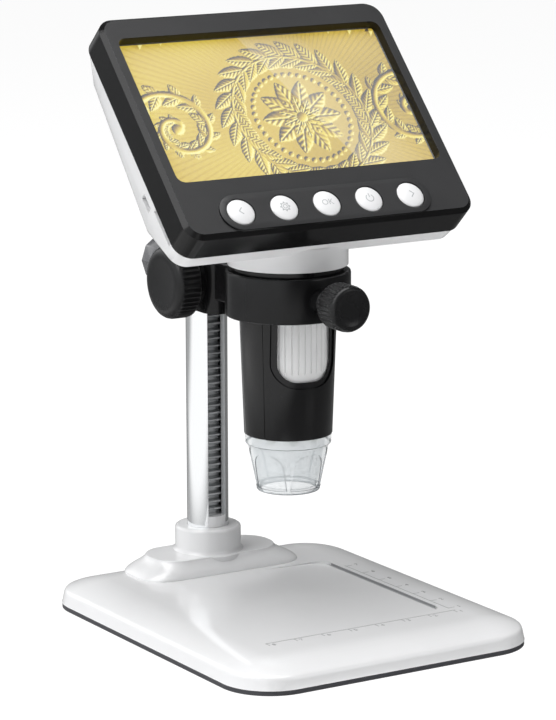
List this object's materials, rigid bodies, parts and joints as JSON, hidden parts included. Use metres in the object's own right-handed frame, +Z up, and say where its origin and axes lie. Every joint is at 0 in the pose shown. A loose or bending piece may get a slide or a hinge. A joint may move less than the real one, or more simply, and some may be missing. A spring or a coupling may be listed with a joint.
{
  "type": "digital microscope",
  "caption": "Desk microscope with a leaning screen head, a barrel with a focus wheel and a lit clear tip, on a rack-and-pinion column with a flat foot.",
  "frame": {"origin": "centre of the foot's underside, below the barrel's axis", "axes": "+Z up along the barrel and the column, -Y towards the user, +X to the user's right"},
  "size_m": [0.109, 0.1465, 0.1951],
  "materials": {
    "foot_white": "gloss",
    "plate_black": "satin",
    "weight_iron": "rough",
    "screw_steel": "satin",
    "tube_chrome": "polished",
    "rack_metal": "satin",
    "plug_white": "satin",
    "cap_black": "gloss",
    "carriage_black": "gloss",
    "ring_black": "gloss",
    "pad_nylon": "matt",
    "gear_brass": "satin",
    "shaft_steel": "polished",
    "knob_black": "satin gloss",
    "knob_grey": "gloss",
    "barrel_black": "gloss",
    "wheel_white": "satin",
    "tip_clear": "clear",
    "lens_black": "matt",
    "lens_glass": "coated",
    "board_green": "satin",
    "board_white": "satin",
    "chip_black": "matt",
    "lamp_epoxy": "clear",
    "bezel_black": "satin",
    "screen_cover": "clear",
    "screen_panel": "lit picture",
    "cell_wrap": "film",
    "socket_metal": "satin",
    "shell_white": "gloss",
    "button_white": "satin"
  },
  "bodies": {
    "stand": {"foot_shell": "foot_white", "foot_plate": "plate_black", "foot_weight": "weight_iron", "foot_screws": "screw_steel", "column_tube": "tube_chrome", "column_rack": "rack_metal", "slot_plug": "plug_white", "column_cap": "cap_black", "column_bolt": "screw_steel"},
    "carriage": {"carriage_body": "carriage_black", "ring_clamp": "ring_black", "arm_screws": "screw_steel", "friction_pad": "pad_nylon"},
    "focus_drive": {"pinion": "gear_brass", "focus_shaft": "shaft_steel", "focus_knob": "knob_black", "shaft_end_cap": "cap_black"},
    "tension_lock": {"tension_screw": "shaft_steel", "tension_knob": "knob_grey"},
    "clamp_lock": {"clamp_screw": "shaft_steel", "clamp_knob": "knob_black"},
    "microscope": {"barrel_rear": "barrel_black", "barrel_front": "barrel_black", "collar_screws": "screw_steel", "sensor_board": "board_green", "image_sensor": "chip_black", "led_board": "board_white", "led_lamps": "lamp_epoxy", "clear_tip": "tip_clear", "front_bezel": "bezel_black", "screen_glass": "screen_cover", "lcd_panel": "screen_panel", "main_board": "board_green", "board_chips": "chip_black", "battery_pack": "cell_wrap", "button_board": "board_green", "dome_switches": "socket_metal", "usb_socket": "socket_metal", "card_socket": "socket_metal", "rear_shell": "shell_white", "shell_screws": "screw_steel"},
    "focus_ring": {"focus_wheel": "wheel_white"},
    "lens_cell": {"lens_carrier": "lens_black", "objective_lens": "lens_glass"},
    "key_left": {"button_left": "button_white"},
    "key_gear": {"button_gear": "button_white"},
    "key_ok": {"button_ok": "button_white"},
    "key_power": {"button_power": "button_white"},
    "key_right": {"button_right": "button_white"}
  },
  "joints": [
    {"name": "carriage_slide", "type": "slide", "parent": "stand", "child": "carriage", "axis": [0, 0, 1], "range_m": [-0.034, 0.05]},
    {"name": "focus_knob_turn", "type": "hinge", "parent": "carriage", "child": "focus_drive", "pos_m": [0, 0.0429, 0.1072], "axis": [1, 0, 0], "range_deg": [-600, 410]},
    {"name": "tension_turn", "type": "hinge", "parent": "carriage", "child": "tension_lock", "pos_m": [0, 0.0692, 0.108], "axis": [0, 1, 0], "range_deg": [-540, 90]},
    {"name": "clamp_turn", "type": "hinge", "parent": "carriage", "child": "clamp_lock", "pos_m": [0, -0.0264, 0.1092], "axis": [0, -1, 0], "range_deg": [-90, 540]},
    {"name": "microscope_swivel", "type": "hinge", "parent": "carriage", "child": "microscope", "pos_m": [0, 0, 0.1092], "axis": [0, 0, 1], "range_deg": [-12, 12]},
    {"name": "focus_wheel_turn", "type": "hinge", "parent": "microscope", "child": "focus_ring", "pos_m": [0, 0, 0.09], "axis": [0, 0, 1], "range_deg": [-120, 120]},
    {"name": "lens_cell_slide", "type": "slide", "parent": "microscope", "child": "lens_cell", "axis": [0, 0, 1], "range_m": [-0.0015, 0.0015]},
    {"name": "key_left_press", "type": "slide", "parent": "microscope", "child": "key_left", "axis": [0, 0.7278, -0.6858], "range_m": [0, 0.0006], "stiffness_N_per_m": 700, "springref_m": -0.0006},
    {"name": "key_gear_press", "type": "slide", "parent": "microscope", "child": "key_gear", "axis": [0, 0.7278, -0.6858], "range_m": [0, 0.0006], "stiffness_N_per_m": 700, "springref_m": -0.0006},
    {"name": "key_ok_press", "type": "slide", "parent": "microscope", "child": "key_ok", "axis": [0, 0.7278, -0.6858], "range_m": [0, 0.0006], "stiffness_N_per_m": 700, "springref_m": -0.0006},
    {"name": "key_power_press", "type": "slide", "parent": "microscope", "child": "key_power", "axis": [0, 0.7278, -0.6858], "range_m": [0, 0.0006], "stiffness_N_per_m": 700, "springref_m": -0.0006},
    {"name": "key_right_press", "type": "slide", "parent": "microscope", "child": "key_right", "axis": [0, 0.7278, -0.6858], "range_m": [0, 0.0006], "stiffness_N_per_m": 700, "springref_m": -0.0006}
  ],
  "couplings": [
    {"joint": "focus_knob_turn", "follows": "carriage_slide", "rad_per_m": -208.33},
    {"joint": "lens_cell_slide", "follows": "focus_wheel_turn", "m_per_rad": 0.0007}
  ]
}
